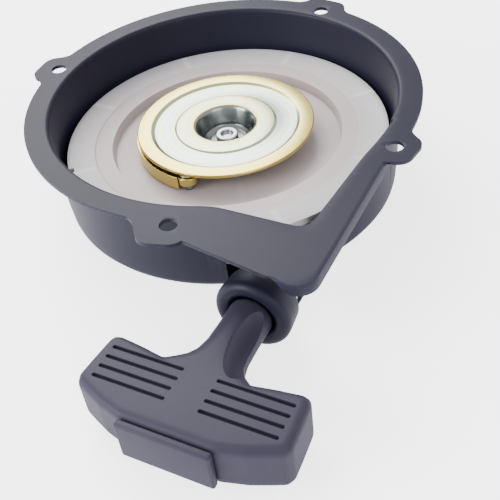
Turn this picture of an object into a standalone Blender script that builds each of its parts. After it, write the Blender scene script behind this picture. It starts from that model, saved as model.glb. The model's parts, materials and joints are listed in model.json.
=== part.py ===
"""Recoil starter for a small engine: pressed steel case, rope reel with rewind spring, one ratchet under a
friction plate, rope, rope guide and T handle.

Frame: Z up along the reel axis with the open, engine side up; the origin is on the closed outer face of the
case, on the reel axis; the rope is pulled towards -Y. Sizes are in millimetres and meshes are made in metres.
"""

from math import acos, copysign, cos, degrees, pi, radians, sin, sqrt

import bpy
from mathutils import Vector

MM = 0.001
GAP = 0.3  # clearance left between pieces that rest on each other

# Case: a round pan with a flange, four ears and a roof over the rope outlet
SHEET = 1.8
CASE_HEIGHT = 49.5
MOUTH_RADIUS = 83.4  # inside the wall, just under the flange
WALL_DRAFT = 2.0  # how much smaller the wall is at the floor
FLANGE_WIDTH = 9.8
FLANGE_RADIUS = MOUTH_RADIUS + SHEET + FLANGE_WIDTH
FLOOR_BEND = 5.0  # outside radius where the wall meets the floor
MOUTH_BEND = 2.0  # radius of the rolled edge of the mouth
OUTLET_EDGE_Y = 7.4 - MOUTH_RADIUS  # straight inner edge of the roof
OUTLET_MEET = sqrt(MOUTH_RADIUS**2 - OUTLET_EDGE_Y**2)  # x where that edge would cross the round mouth
OUTLET_BLEND = (6.3, 6.7)  # how far before and after the crossing the mouth blends into the edge
OUTLET_CORNER = 7.0  # inside corner radius of the mouth, over the outlet
OUTLET_SIDE = (-4.3, MOUTH_RADIUS - 0.5)  # the straight side of the mouth: direction, distance from the axis
SHELF_Z = 27.0  # inside floor of the shallow side pocket
ROOF_START = (FLANGE_RADIUS + 11.1, -70.7)  # radius and direction of a point on the outer edge of the roof
ROOF_SLOPE_DEG = 9.1
ROOF_SIDE_X = FLANGE_RADIUS - 2.5
ROOF_END_Y = -21.0
ROOF_CORNER = 8.5
ROOF_OVERLAP = (6.0, -70.3, -12.8)  # where the roof is rooted in the flange: width and two directions
LIP_DEPTH = 5.5
LIP_TOP_Y = -27.0
WINDOW_DEG = (-64.0, -30.0)  # opening in the wall for the rope
WINDOW_FLOOR_Z = 4.0
EAR_HOLE = 3.9
EARS = (  # direction of the ear, its reach past the flange, half width, direction of its hole, the hole's place
    (183.5, 8.6, 11.5, 183.3, -2.6),
    (81.5, 7.0, 12.5, 80.7, -5.0),
    (-9.2, 8.5, 11.0, -9.4, -1.7),
    (-76.3, 13.5, 11.5, -75.2, 1.8),
)
EAR_CORNER = 7.0
EAR_NOTCH = 3.5
VENTS = 12
VENT_RADII = (MOUTH_RADIUS - 25.4, MOUTH_RADIUS - 11.4)
VENT_HALF = 3.5

# Centre post, welded to the floor
POST_BOSS = (12.0, 13.2)  # radius, top
POST_SHAFT = (7.8, 19.6)
POST_SPIGOT = (5.4, 22.3)
THREAD = 2.6
THREAD_FLOOR_Z = 9.0

# Rope, wound flat in the groove of the reel
ROPE = 4.0  # diameter
REEL_RADIUS = MOUTH_RADIUS - WALL_DRAFT - 1.9
ROPE_X = REEL_RADIUS - 17.9  # the rope leaves the reel along this line
ROPE_Z = 17.0
ROPE_PITCH = ROPE + 0.25
ROPE_TURNS = 3
ROPE_BEND_GAP = GAP + 0.08 * ROPE  # between the last turn and the straight run

# Friction plate, its washers and the bolt
PLATE_RADIUS = 43.65
PLATE_TOP = 32.8
PLATE_SHEET = 1.5
CHANNEL = (24.2, 25.2, PLATE_RADIUS - 8.45, PLATE_RADIUS - 6.85)  # the ring pressed down into its face
CHANNEL_DEPTH = 1.1
EYE = 14.8
EYE_DROP = 0.4  # how much lower the face is round the eye
CUP_FLOOR = 20.3
CUP_RADIUS = 11.4
WASHER_SHEET = 0.8
THRUST_WASHER = 12.4
CONE = 11.6  # outer radius of the friction spring
BOLT_WASHER = 8.2
BOLT_HEAD = (5.5, 2.4)
SOCKET = 5.5  # across flats

# Reel
REEL_TOP = 27.3
RECESS_RADIUS = PLATE_RADIUS + 13.55
RECESS_FLOOR = 22.0
REEL_STEP = (RECESS_RADIUS + 8.8, 0.7)  # radius and depth of the shallow step in its face
CEILING = RECESS_FLOOR - 3.2  # of the spring chamber
GROOVE = (ROPE_Z - ROPE / 2 - 0.8, ROPE_Z + ROPE / 2 + 0.4)
GROOVE_RADIUS = ROPE_X - ROPE_TURNS * ROPE_PITCH - ROPE / 2 - 0.75
SHOULDER = max(RECESS_RADIUS, GROOVE_RADIUS + 1.0)  # where the underside of the upper flange starts to rise
FLANGE_UNDER = REEL_TOP - 3.4
LOWER_FLANGE = 2.8
CHAMBER_RADIUS = GROOVE_RADIUS - 3.0
SKIRT_Z = 3.0
HUB_TOP = 17.2
BUSH = (POST_SHAFT[0] + GAP, POST_SHAFT[0] + GAP + 0.9)
HUB_RADIUS = BUSH[1] + 6.5
NOTCH_DEG = -137.0
NOTCH = (2.5, 1.6)  # depth and half width

# Rewind spring
STRIP = (0.8, 9.0)
STRIP_Z = 3.6
STRIP_RADII = (POST_BOSS[0] + 1.4, CHAMBER_RADIUS - 5.0)
STRIP_TURNS = 6
ANCHOR = 1.5

# Ratchet
PIVOT_RADIUS = PLATE_RADIUS - 3.85
PIVOT_DEG = -90.0
RATCHET_Z = (RECESS_FLOOR + 1.0, PLATE_TOP - CHANNEL_DEPTH - PLATE_SHEET - 0.6)
RATCHET_ARC = (PLATE_RADIUS - 5.05, PLATE_RADIUS + 0.75)
RATCHET_TIP_DEG = -152.0
PIN = 2.3
BARREL = PIN + 2.6
PIN_HEAD = (PIN + 1.2, 0.9)
COIL = (PIN + 1.2, 0.7)  # radius of the coil and thickness of its wire

# Rope guide on its bracket
BRACKET_FRONT = 7.5 - FLANGE_RADIUS
BRACKET_RADIUS = 13.5
TONGUE_HALF = 8.0
GUIDE_BARREL = 9.9
GUIDE_RADIUS = 16.8
GUIDE_MOUTH = BRACKET_FRONT - 14.0
GUIDE_BACK = BRACKET_FRONT + 5.5
GUIDE_THROAT = ROPE / 2 + 2.8
RETAINER = (3.0, 2.2)  # width and thickness of the ring behind the bracket

# Handle: a round neck that spreads into a bar
NECK_START = GUIDE_MOUTH + 3.0
NECK_RADIUS = 9.4
BAR_HALF = (42.8, 11.15)  # half length at the back and half height of the bar
BAR_Z = ROPE_Z + NECK_RADIUS - BAR_HALF[1]  # its middle, so that its top is level with the neck's
BAR_REAR = NECK_START - 39.6
BAR_FRONT = BAR_REAR - 30.2
WING_SWEEP = 4.0  # the ends of the bar reach this far back towards the case
WING_FALL = 7.6  # and its front falls back this far at the ends
FRONT_HALF = 19.5  # half width of the flat middle of the front
END_SLANT = 1.6
BAR_ROUND = 4.0
BORE = ROPE / 2 + 0.6
KNOT = 1.2 * ROPE + 0.1
POCKET = (17.0, KNOT + 0.7)  # half width and half height of the hollow behind the cap
POCKET_BACK = BAR_FRONT + 23.0
CAP = (FRONT_HALF, 8.6)  # half width and half height of the cap
CAP_DEPTH = 3.4
CAP_PLUG = 9.0
RIDGES = (6.8, 38.4)  # how far from the middle the grip grooves start and end
RIDGE_FIRST = BAR_REAR - 2.9
RIDGE_PITCH = 4.9
RIDGE_COUNT = 4
RIDGE = (0.8, 1.5)  # half width and depth of a groove


def clear_scene():
    for obj in list(bpy.data.objects):
        bpy.data.objects.remove(obj, do_unlink=True)


def material(name, colour, metallic, roughness):
    made = bpy.data.materials.new(name)
    made.use_nodes = True
    shader = made.node_tree.nodes["Principled BSDF"]
    shader.inputs["Base Color"].default_value = (*colour, 1.0)
    shader.inputs["Metallic"].default_value = metallic
    shader.inputs["Roughness"].default_value = roughness
    made.diffuse_color = (*colour, 1.0)
    return made


def solid(name, points, faces, look=None):
    """An object made from points in millimetres, faced outwards. Without a look it is a cutter."""
    corners = [(face[0], b, c) for face in faces for b, c in zip(face[1:], face[2:])]
    if sum(Vector(points[a]).dot(Vector(points[b]).cross(Vector(points[c]))) for a, b, c in corners) < 0:
        faces = [tuple(reversed(face)) for face in faces]
    mesh = bpy.data.meshes.new(name)
    mesh.from_pydata([tuple(MM * c for c in p) for p in points], [], faces)
    obj = bpy.data.objects.new(name, mesh)
    bpy.context.scene.collection.objects.link(obj)
    if look is None:
        obj.hide_render = True
        obj.display_type = "WIRE"
    else:
        mesh.materials.append(look)
        mesh.shade_smooth()
        mesh.set_sharp_from_angle(angle=radians(35))
    return obj


def combine(target, tool, operation):
    modifier = target.modifiers.new(tool.name, "BOOLEAN")
    modifier.solver = "EXACT"
    modifier.operation = operation
    modifier.object = tool


def cut(target, tool):
    combine(target, tool, "DIFFERENCE")


def join(target, tool):
    combine(target, tool, "UNION")


def revolve(name, profile, steps, look=None, along="Z", at=(0.0, 0.0)):
    """A profile of (radius, place along the axis), closed, turned about Z, or about Y through x, z = at."""
    points, rings = [], []
    for radius, place in profile:
        ring = []
        for i in range(steps if radius else 1):
            turn = 2 * pi * i / steps
            across, up = radius * cos(turn), radius * sin(turn)
            ring.append(len(points))
            if along == "Z":
                points.append((at[0] + across, at[1] + up, place))
            else:
                points.append((at[0] + across, place, at[1] - up))
        rings.append(ring)
    faces = []
    on_axis = not profile[0][0]
    for a, b in zip(rings, rings[1:] if on_axis else rings[1:] + rings[:1]):
        for i in range(steps):
            j = (i + 1) % steps
            corners = [a[i % len(a)], a[j % len(a)], b[j % len(b)], b[i % len(b)]]
            faces.append(tuple(dict.fromkeys(corners)))
    return solid(name, points, faces, look)


def loft(name, rings, look=None):
    """Rings of equally many points, joined in turn and capped at both ends."""
    count = len(rings[0])
    points = [p for ring in rings for p in ring]
    faces = [tuple(reversed(range(count)))]
    for k in range(len(rings) - 1):
        for i in range(count):
            j = (i + 1) % count
            faces.append((k * count + i, k * count + j, (k + 1) * count + j, (k + 1) * count + i))
    faces.append(tuple((len(rings) - 1) * count + i for i in range(count)))
    return solid(name, points, faces, look)


def prism(name, outline, low, high, look=None):
    """An outline in the XY plane, counter-clockwise, between two heights."""
    return loft(name, [[(x, y, z) for x, y in outline] for z in (low, high)], look)


def box(name, low, high, look=None):
    (x0, y0, z0), (x1, y1, z1) = low, high
    return prism(name, [(x0, y0), (x1, y0), (x1, y1), (x0, y1)], z0, z1, look)


def arc(centre, radius, start, end, steps):
    """Points from one angle in degrees to another, both included."""
    turns = [radians(start + (end - start) * i / steps) for i in range(steps + 1)]
    return [(centre[0] + radius * cos(t), centre[1] + radius * sin(t)) for t in turns]


def polar(radius, angle):
    return radius * cos(radians(angle)), radius * sin(radians(angle))


def corner_outline(offset):
    """The mouth of the case over the rope outlet, this far outside its edge; its last point is inside the reel."""
    direction, distance = OUTLET_SIDE
    side = radians(direction)
    centre_y = OUTLET_EDGE_Y + OUTLET_CORNER
    centre_x = (distance - OUTLET_CORNER - centre_y * sin(side)) / cos(side)
    before, after = OUTLET_BLEND
    start = OUTLET_MEET - before
    edge = [(start, -sqrt(MOUTH_RADIUS**2 - start**2) + GAP / 2 - offset)]
    edge.append((OUTLET_MEET + after, OUTLET_EDGE_Y - offset))
    edge += arc((centre_x, centre_y), OUTLET_CORNER + offset, -90, direction, 6)
    edge.append(polar(distance + offset, direction))
    return edge + [(MOUTH_RADIUS / 2, OUTLET_EDGE_Y / 4)]


def ear_outline(direction, reach, half):
    """A rounded tab with a small concave notch on each side where it leaves the flange."""
    root = FLANGE_RADIUS - 6.0
    local = [(root, -half - EAR_NOTCH)]
    local += arc((FLANGE_RADIUS + EAR_NOTCH, -half - EAR_NOTCH), EAR_NOTCH, 180, 90, 3)
    tip = FLANGE_RADIUS + reach - EAR_CORNER
    local += arc((tip, -half + EAR_CORNER), EAR_CORNER, -90, 0, 4)
    local += arc((tip, half - EAR_CORNER), EAR_CORNER, 0, 90, 4)
    local += arc((FLANGE_RADIUS + EAR_NOTCH, half + EAR_NOTCH), EAR_NOTCH, -90, -180, 3)
    local.append((root, half + EAR_NOTCH))
    turn = radians(direction)
    return [(u * cos(turn) - v * sin(turn), u * sin(turn) + v * cos(turn)) for u, v in local]


def roof_outline(inset):
    """Outer edge of the roof, from the ear beside the outlet round the corner to the far ear."""
    slope = radians(ROOF_SLOPE_DEG)
    start_x, start_y = polar(*ROOF_START)
    centre_x = ROOF_SIDE_X - ROOF_CORNER
    drop = (ROOF_CORNER - (centre_x - start_x) * sin(slope)) / cos(slope)
    centre = (centre_x, start_y + drop)
    return arc(centre, ROOF_CORNER - inset, -90 - ROOF_SLOPE_DEG, 0, 6)


def make_case(look):
    top, under = CASE_HEIGHT, CASE_HEIGHT - SHEET
    foot = MOUTH_RADIUS + SHEET - WALL_DRAFT
    outer = [(0, 0)] + arc((foot - FLOOR_BEND, FLOOR_BEND), FLOOR_BEND, -90, 0, 3)
    outer += [(MOUTH_RADIUS + SHEET, under), (FLANGE_RADIUS, under), (FLANGE_RADIUS, top)]
    inner = arc((MOUTH_RADIUS + MOUTH_BEND, top - MOUTH_BEND), MOUTH_BEND, 90, 180, 3)
    bend = FLOOR_BEND - SHEET
    inner += arc((foot - FLOOR_BEND, FLOOR_BEND), bend, 0, -90, 3) + [(0, SHEET)]
    case = revolve("starter_case", outer + inner, 64, look)

    width, near, far = ROOF_OVERLAP
    roof = [polar(MOUTH_RADIUS + width, near), polar(*ROOF_START)] + roof_outline(0.0)
    roof += [(ROOF_SIDE_X, ROOF_END_Y), polar(MOUTH_RADIUS + width, far)]
    join(case, prism("roof", roof, under, top))
    for i, (direction, reach, half, _, _) in enumerate(EARS):
        join(case, prism(f"ear_{i}", ear_outline(direction, reach, half), under, top))
    turned = roof_outline(0.0)[2:]
    lip = turned + [(ROOF_SIDE_X, LIP_TOP_Y), (ROOF_SIDE_X - SHEET, LIP_TOP_Y)]
    join(case, prism("lip", lip + roof_outline(SHEET)[:1:-1], top - LIP_DEPTH, top - SHEET / 2))

    wall = corner_outline(SHEET)[5:-1]
    inside = arc((0, 0), MOUTH_RADIUS + SHEET / 2, OUTLET_SIDE[0], WINDOW_DEG[1], 6)
    join(case, prism("side_pocket", wall + inside, SHELF_Z - SHEET, under + SHEET / 2))
    heights = [SHELF_Z, top - MOUTH_BEND]
    rings = [[(x, y, z) for x, y in corner_outline(0.0)] for z in heights]
    for turn in (30, 60, 90):
        out = MOUTH_BEND * (1 - cos(radians(turn)))
        z = top - MOUTH_BEND + MOUTH_BEND * sin(radians(turn))
        rings.append([(x, y, z) for x, y in corner_outline(out)])
    rings.append([(x, y, top + 1) for x, y in corner_outline(MOUTH_BEND)])
    cut(case, loft("outlet_mouth", rings))
    edge = arc((0, 0), MOUTH_RADIUS + SHEET + GAP, *WINDOW_DEG, 4)
    edge += arc((0, 0), MOUTH_RADIUS - 4 * WALL_DRAFT, *WINDOW_DEG[::-1], 4)
    cut(case, prism("window", edge, WINDOW_FLOOR_Z, under + GAP))

    back = BRACKET_FRONT + SHEET
    low, high = ROPE_X - TONGUE_HALF, ROPE_X + TONGUE_HALF
    join(case, box("tongue", (low, BRACKET_FRONT + SHEET / 2, 0), (high, -MOUTH_RADIUS / 2, SHEET)))
    turn = degrees(acos(TONGUE_HALF / BRACKET_RADIUS))
    plate = [(low, 0), (high, 0)] + arc((ROPE_X, ROPE_Z), BRACKET_RADIUS, -turn, 180 + turn, 16)
    join(case, loft("bracket", [[(x, y, z) for x, z in plate] for y in (BRACKET_FRONT, back)]))
    hole = [(0, BRACKET_FRONT - 5), (GUIDE_BARREL + GAP, BRACKET_FRONT - 5),
            (GUIDE_BARREL + GAP, back + 5), (0, back + 5)]
    cut(case, revolve("bracket_hole", hole, 24, along="Y", at=(ROPE_X, ROPE_Z)))
    for i, (_, _, _, direction, place) in enumerate(EARS):
        x, y = polar(FLANGE_RADIUS + place, direction)
        cut(case, prism(f"ear_hole_{i}", arc((x, y), EAR_HOLE, 0, 345, 23), under - 2, top + 2))
    for i in range(VENTS):
        turn = 360 * (i + 0.5) / VENTS
        slot = arc((VENT_RADII[1] - VENT_HALF, 0), VENT_HALF, -90, 90, 4)
        slot += arc((VENT_RADII[0] + VENT_HALF, 0), VENT_HALF, 90, 270, 4)
        c, s = cos(radians(turn)), sin(radians(turn))
        cut(case, prism(f"vent_{i}", [(u * c - v * s, u * s + v * c) for u, v in slot], -1, SHEET + 1))
    return case


def make_post(look):
    (boss, boss_top), (shaft, shaft_top), (spigot, top) = POST_BOSS, POST_SHAFT, POST_SPIGOT
    profile = [(0, SHEET + GAP), (boss, SHEET + GAP), (boss, boss_top), (shaft, boss_top), (shaft, shaft_top)]
    profile += [(spigot, shaft_top), (spigot, top), (THREAD, top), (THREAD, THREAD_FLOOR_Z)]
    return revolve("centre_post", profile + [(0, THREAD_FLOOR_Z)], 24, look)


def make_reel(look):
    low, high = GROOVE
    step, drop = REEL_STEP
    profile = [(BUSH[1] + GAP, POST_BOSS[1] + GAP), (BUSH[1] + GAP, HUB_TOP), (HUB_RADIUS, HUB_TOP)]
    profile += [(HUB_RADIUS + 2, RECESS_FLOOR), (RECESS_RADIUS - 1.2, RECESS_FLOOR)]
    profile += [(RECESS_RADIUS, REEL_TOP - drop), (step - 0.6, REEL_TOP - drop), (step, REEL_TOP)]
    profile += [(REEL_RADIUS, REEL_TOP), (REEL_RADIUS, FLANGE_UNDER), (SHOULDER + 4, FLANGE_UNDER)]
    profile += [(SHOULDER, high), (GROOVE_RADIUS, high), (GROOVE_RADIUS, low), (REEL_RADIUS, low)]
    profile += [(REEL_RADIUS, low - LOWER_FLANGE), (GROOVE_RADIUS, low - LOWER_FLANGE)]
    profile += [(GROOVE_RADIUS, SKIRT_Z), (CHAMBER_RADIUS, SKIRT_Z), (CHAMBER_RADIUS, CEILING)]
    profile += [(HUB_RADIUS + 4, CEILING), (HUB_RADIUS + 2, POST_BOSS[1] + GAP)]
    reel = revolve("reel", profile, 48, look)
    pivot = polar(PIVOT_RADIUS, PIVOT_DEG)
    boss_top = RATCHET_Z[0] - GAP
    join(reel, prism("pivot_boss", arc(pivot, BARREL + 1, 0, 330, 11), RECESS_FLOOR - 1, boss_top))
    cut(reel, prism("pivot_hole", arc(pivot, PIN + GAP, 0, 330, 11), CEILING - 1, boss_top + 1))
    depth, half = NOTCH
    c, d = polar(1, NOTCH_DEG)
    corners = ((REEL_RADIUS - depth, -half), (REEL_RADIUS + 2, -half), (REEL_RADIUS + 2, half),
               (REEL_RADIUS - depth, half))
    slot = [(u * c - v * d, u * d + v * c) for u, v in corners]
    cut(reel, prism("rim_notch", slot, high, REEL_TOP + 1))
    return reel


def make_bush(look):
    low, high = POST_BOSS[1] + GAP, HUB_TOP
    return revolve("reel_bushing", [(BUSH[0], low), (BUSH[1], low), (BUSH[1], high), (BUSH[0], high)], 24, look)


def make_rewind_spring(look):
    """A flat strip wound round the post, with a hook turned in at the boss and one turned out at the reel."""
    start, end = STRIP_RADII
    steps = STRIP_TURNS * 16
    middle = [polar(start + (end - start) * i / steps, 360 * i / 16) for i in range(steps + 1)]
    middle.insert(0, (middle[0][0] - 0.6, middle[0][1] - 3.2))
    middle.append((middle[-1][0] + 1.4, middle[-1][1] + 3.4))
    sides = ([], [])
    for i, (x, y) in enumerate(middle):
        (x0, y0), (x1, y1) = middle[max(i - 1, 0)], middle[min(i + 1, len(middle) - 1)]
        run = Vector((x1 - x0, y1 - y0)).normalized() * STRIP[0] / 2
        sides[0].append((x - run.y, y + run.x))
        sides[1].append((x + run.y, y - run.x))
    low, high = STRIP_Z, STRIP_Z + STRIP[1]
    rings = [[(*a, low), (*b, low), (*b, high), (*a, high)] for a, b in zip(*sides)]
    return loft("recoil_spring", rings, look)


def make_anchor(look):
    """The pin that holds the outer hook of the rewind spring, hung from the web of the reel."""
    x, y = STRIP_RADII[1] + ANCHOR + 1.3, 1.0
    return prism("spring_anchor", arc((x, y), ANCHOR, 0, 330, 11), STRIP_Z, CEILING - GAP, look)


def make_plate(look):
    """The friction plate: a pressed disc with a ring pressed down into it and a deep cup drawn at its middle."""
    top, low = PLATE_TOP, PLATE_TOP - CHANNEL_DEPTH
    sheet = PLATE_SHEET
    floor = CUP_FLOOR + sheet
    face = [(POST_SPIGOT[0] + GAP, floor), (CUP_RADIUS - sheet, floor), (CUP_RADIUS + 0.3, floor + 1.5)]
    face += [(EYE - 0.8, top - 2.2), (EYE, top - 0.9), (EYE + 1.0, top - EYE_DROP), (CHANNEL[0], top - EYE_DROP)]
    face += [(CHANNEL[1], low), (CHANNEL[2], low), (CHANNEL[3], top), (PLATE_RADIUS - 0.4, top)]
    face += [(PLATE_RADIUS, top - 0.4), (PLATE_RADIUS, top - sheet)]
    back = [(CHANNEL[3] - 0.4, top - sheet), (CHANNEL[2] - 0.4, low - sheet), (CHANNEL[1] + 0.4, low - sheet)]
    back += [(CHANNEL[0] + 0.4, top - EYE_DROP - sheet), (EYE + 1.7, top - EYE_DROP - sheet)]
    back += [(EYE + 0.7, top - 2.4), (CUP_RADIUS + sheet + 0.3, CUP_FLOOR + 1.6), (CUP_RADIUS, CUP_FLOOR)]
    return revolve("friction_plate", face + back + [(POST_SPIGOT[0] + GAP, CUP_FLOOR)], 40, look)


def make_small_rings(steel, zinc):
    """The thrust washer on the hub, the cone spring above it and the washer under the bolt."""
    inner = POST_SHAFT[0] + GAP
    low = HUB_TOP + GAP
    high = low + WASHER_SHEET
    made = [revolve("thrust_washer", [(inner, low), (THRUST_WASHER, low), (THRUST_WASHER, high), (inner, high)], 24, steel)]
    low, rise = high + GAP, CUP_FLOOR - high - 2 * GAP - WASHER_SHEET
    cone = [(inner, low + rise), (CONE, low), (CONE, low + WASHER_SHEET), (inner, low + rise + WASHER_SHEET)]
    made.append(revolve("friction_spring", cone, 24, steel))
    low = POST_SPIGOT[1] + GAP
    high = low + WASHER_SHEET
    flat = [(THREAD + 0.8, low), (BOLT_WASHER, low), (BOLT_WASHER, high), (THREAD + 0.8, high)]
    made.append(revolve("spring_washer", flat, 24, zinc))
    return made


def make_bolt(look):
    radius, height = BOLT_HEAD
    seat = POST_SPIGOT[1] + 2 * GAP + WASHER_SHEET
    shank = THREAD - GAP
    profile = [(0, THREAD_FLOOR_Z + 1.5), (shank, THREAD_FLOOR_Z + 1.5), (shank, seat), (radius, seat)]
    profile += [(radius, seat + height - 0.6), (radius - 0.6, seat + height), (0, seat + height)]
    bolt = revolve("centre_bolt", profile, 24, look)
    across_corners = SOCKET / sqrt(3)
    hexagon = arc((0, 0), across_corners, 0, 300, 5)
    cut(bolt, prism("socket", hexagon, seat + 0.6, seat + height + 1))
    return bolt


def make_ratchet(look):
    """A curved arm lying round the reel under the rim of the plate, on a barrel that turns on its pin."""
    low, high = RATCHET_Z
    inner, outer = RATCHET_ARC
    arm = arc((0, 0), outer, PIVOT_DEG, RATCHET_TIP_DEG, 8)
    arm += arc((0, 0), inner, RATCHET_TIP_DEG + 5, PIVOT_DEG, 7)
    ratchet = prism("ratchet", arm, low, high, look)
    pivot = polar(PIVOT_RADIUS, PIVOT_DEG)
    coil_top = low + 3 * COIL[1] + GAP
    join(ratchet, prism("barrel", arc(pivot, BARREL, 0, 345, 23), coil_top, high - 0.1))
    cut(ratchet, prism("coil_room", arc(pivot, BARREL + 0.4, 0, 345, 23), low - 1, coil_top))
    cut(ratchet, prism("ratchet_bore", arc(pivot, PIN + GAP, 0, 345, 23), low - 1, high + 1))
    return ratchet


def make_pin(look):
    x, y = polar(PIVOT_RADIUS, PIVOT_DEG)
    head, thick = PIN_HEAD
    seat = RATCHET_Z[1] + GAP
    pin = prism("ratchet_pin", arc((x, y), PIN, 0, 330, 11), CEILING + GAP, seat + thick / 2, look)
    join(pin, prism("pin_head", arc((x, y), head, 0, 345, 23), seat, seat + thick))
    return pin


def cord(name, points, thickness, look):
    """A round cord or wire through these points, closed at both ends."""
    curve = bpy.data.curves.new(name, "CURVE")
    curve.dimensions = "3D"
    curve.bevel_depth = MM * thickness / 2
    curve.bevel_resolution = 2
    curve.use_fill_caps = True
    spline = curve.splines.new("POLY")
    spline.points.add(len(points) - 1)
    for point, place in zip(spline.points, points):
        point.co = (*(MM * c for c in place), 1.0)
    obj = bpy.data.objects.new(name, curve)
    bpy.context.scene.collection.objects.link(obj)
    curve.materials.append(look)
    return obj


def make_ratchet_spring(look):
    x, y = polar(PIVOT_RADIUS, PIVOT_DEG)
    radius, wire = COIL
    low = RATCHET_Z[0] + wire / 2 - 0.05
    points = [(x - radius - 1.1, y + 6.5, low)]
    for i in range(19):
        px, py = polar(radius, 180 - 30 * i)
        points.append((x + px, y + py, low + i * (wire + 0.15) / 12))
    return cord("ratchet_spring", points, wire, look)


def make_winding(look):
    steps = 24
    points = []
    for i in range(ROPE_TURNS * steps + 1):
        radius = ROPE_X - ROPE_PITCH * i / steps
        points.append((*polar(radius, 360 * i / steps), ROPE_Z))
    return cord("rope_winding", points, ROPE, look)


def make_lead(look):
    """The straight run of rope from the reel through the guide and the neck to the knot behind the cap."""
    start, end, count = -ROPE_BEND_GAP, POCKET_BACK - 1.0, 15
    run = [(ROPE_X, start + (end - start) * i / count, ROPE_Z) for i in range(count + 1)]
    return cord("rope_lead", run, ROPE, look)


def make_knot(look):
    centre = POCKET_BACK - 2.0 - KNOT
    profile = [(KNOT * sin(radians(t)), centre + KNOT * cos(radians(t))) for t in (0, 30, 60, 90, 120, 150, 180)]
    profile[0], profile[-1] = (0, profile[0][1]), (0, profile[-1][1])
    return revolve("rope_knot", profile, 16, look, along="Y", at=(ROPE_X, ROPE_Z))


def make_knot_washer(look):
    near, far = POCKET_BACK - GAP, POCKET_BACK - 1.5
    ring = [(BORE, near), (POCKET[1] - 0.4, near), (POCKET[1] - 0.4, far), (BORE, far)]
    return revolve("knot_washer", ring, 20, look, along="Y", at=(ROPE_X, ROPE_Z))


def make_guide(look):
    """The rope guide: a barrel through the bracket, a thick body in front of it and a rounded funnel mouth."""
    front, mouth, wide = BRACKET_FRONT - GAP, GUIDE_MOUTH, GUIDE_RADIUS
    profile = [(GUIDE_THROAT, GUIDE_BACK), (GUIDE_BARREL, GUIDE_BACK), (GUIDE_BARREL, front), (wide - 1.0, front)]
    profile += [(wide, mouth + 5.0), (wide - 0.3, mouth + 2.6), (wide - 1.6, mouth + 0.8), (wide - 3.6, mouth)]
    profile += [(wide - 5.6, mouth + 0.6), (wide - 7.2, mouth + 2.6), (wide - 8.2, mouth + 5.5)]
    return revolve("rope_guide", profile, 32, look, along="Y", at=(ROPE_X, ROPE_Z))


def make_retainer(look):
    near = BRACKET_FRONT + SHEET + GAP
    width, thick = RETAINER
    inner, outer = GUIDE_BARREL + GAP, GUIDE_BARREL + width
    ring = [(inner, near), (outer, near), (outer, near + thick), (inner, near + thick)]
    return revolve("guide_retainer", ring, 24, look, along="Y", at=(ROPE_X, ROPE_Z))


def bar_outline(inset):
    """The bar seen from above, counter-clockwise, with swept wings and a flat middle at its front."""
    half = BAR_HALF[0]
    rear, rear_end = BAR_REAR - inset, BAR_REAR + WING_SWEEP - inset
    front, front_end = BAR_FRONT + inset, BAR_FRONT + WING_FALL + inset
    end_rear, end_front = half - inset, half + END_SLANT - inset
    right = [(FRONT_HALF, front), (end_front - BAR_ROUND, front_end - 1), (end_front - 1, front_end + 0.8)]
    right += [(end_front, front_end + BAR_ROUND), (end_rear, rear_end - BAR_ROUND)]
    right += [(end_rear - 1.2, rear_end - 1.2), (end_rear - BAR_ROUND, rear_end), (NECK_RADIUS + 4, rear)]
    left = [(-x, y) for x, y in reversed(right)]
    return [(ROPE_X + x, y) for x, y in right + left]


def make_grip(look):
    """One body: a round neck that spreads into the bar, with grip grooves and a hollow for the knot."""
    tall = BAR_HALF[1]
    rings = []
    for turn in (-90, -60, -30, 0, 0, 30, 60, 90):
        inset = BAR_ROUND * (1 - cos(radians(turn)))
        up = (tall - BAR_ROUND) * (1 if len(rings) > 3 else -1) + BAR_ROUND * sin(radians(turn))
        rings.append([(x, y, BAR_Z + up) for x, y in bar_outline(inset)])
    grip = loft("handle_grip", rings, look)
    thick = NECK_RADIUS
    sections = (  # place, half width, half height, squareness
        (NECK_START, thick - 1.8, thick - 1.8, 2.0), (NECK_START - 1.5, thick - 0.2, thick - 0.2, 2.0),
        (NECK_START - 14, thick, thick, 2.1), (BAR_REAR + 14, thick + 0.2, thick, 2.3),
        (BAR_REAR + 9, thick + 1.6, thick, 2.6), (BAR_REAR + 4.5, thick + 4.0, thick, 3.0),
        (BAR_REAR + 1.5, thick + 7.5, thick - 0.1, 3.6), (BAR_REAR - 1, thick + 12.0, thick - 0.2, 4.5),
        (BAR_REAR - 8, thick + 12.0, thick - 0.3, 4.5),
    )
    rings = []
    for place, wide, high, square in sections:
        ring = []
        for i in range(28):
            turn = 2 * pi * (i + 0.5) / 28
            across = copysign(abs(cos(turn)) ** (2 / square), cos(turn)) * wide
            up = copysign(abs(sin(turn)) ** (2 / square), sin(turn)) * high
            ring.append((ROPE_X + across, place, ROPE_Z + up))
        rings.append(ring)
    join(grip, loft("neck", rings))
    start, end = RIDGES
    half_groove, depth = RIDGE
    for side in (-1, 1):
        for k in range(RIDGE_COUNT):
            y = RIDGE_FIRST - k * RIDGE_PITCH
            x0, x1 = sorted((ROPE_X + side * start, ROPE_X + side * end))
            low = (x0, y - half_groove, BAR_Z + tall - depth)
            cut(grip, box(f"groove_{side}_{k}", low, (x1, y + half_groove, BAR_Z + tall + 2)))
    wide, high = POCKET
    low = (ROPE_X - wide, BAR_FRONT - 2, ROPE_Z - high)
    cut(grip, box("knot_room", low, (ROPE_X + wide, POCKET_BACK, ROPE_Z + high)))
    bore = [(0, NECK_START + 2), (BORE, NECK_START + 2), (BORE, POCKET_BACK - 1), (0, POCKET_BACK - 1)]
    cut(grip, revolve("rope_bore", bore, 16, along="Y", at=(ROPE_X, ROPE_Z)))
    return grip


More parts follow.
